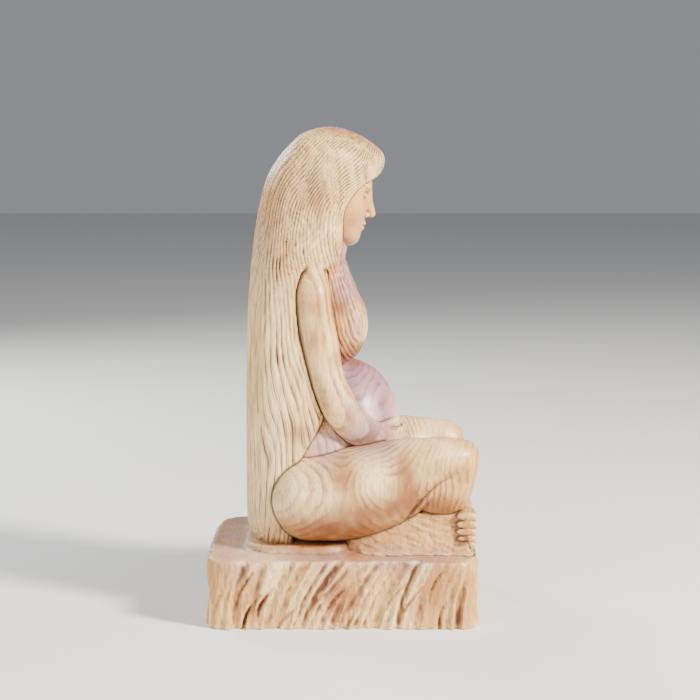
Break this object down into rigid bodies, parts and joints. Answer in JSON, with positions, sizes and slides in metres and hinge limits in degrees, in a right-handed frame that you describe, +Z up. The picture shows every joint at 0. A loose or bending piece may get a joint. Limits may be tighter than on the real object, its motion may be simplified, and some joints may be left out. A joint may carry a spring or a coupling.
{
  "type": "carved wooden seated figure",
  "caption": "Carved wooden statuette of a seated expectant mother, legs crossed, very long hair to the ground, hands under the belly, on a rough-hewn plinth.",
  "frame": {"origin": "centre of the bounding box's bottom, on the plinth's underside", "axes": "+X the way the figure faces, +Y its left side, +Z up"},
  "size_m": [0.136, 0.112, 0.25],
  "materials": {
    "plinth_wood": "rough-hewn, thin satin varnish",
    "hair_wood": "gouged strands, satin varnish",
    "face_wood": "smooth, satin varnish",
    "skin_wood": "sanded smooth, satin varnish",
    "belly_wood": "sanded smooth, satin varnish"
  },
  "bodies": {
    "root": {"plinth": "plinth_wood", "seat_mound": "plinth_wood", "hair_mantle": "hair_wood", "left_front_lock": "hair_wood", "right_front_lock": "hair_wood", "head": "face_wood", "torso": "skin_wood", "belly": "belly_wood", "left_arm": "skin_wood", "right_arm": "skin_wood", "left_hand": "skin_wood", "right_hand": "skin_wood", "left_thigh": "skin_wood", "right_thigh": "skin_wood", "left_shin": "skin_wood", "right_shin": "skin_wood", "left_foot": "skin_wood", "right_foot": "skin_wood"}
  },
  "joints": []
}
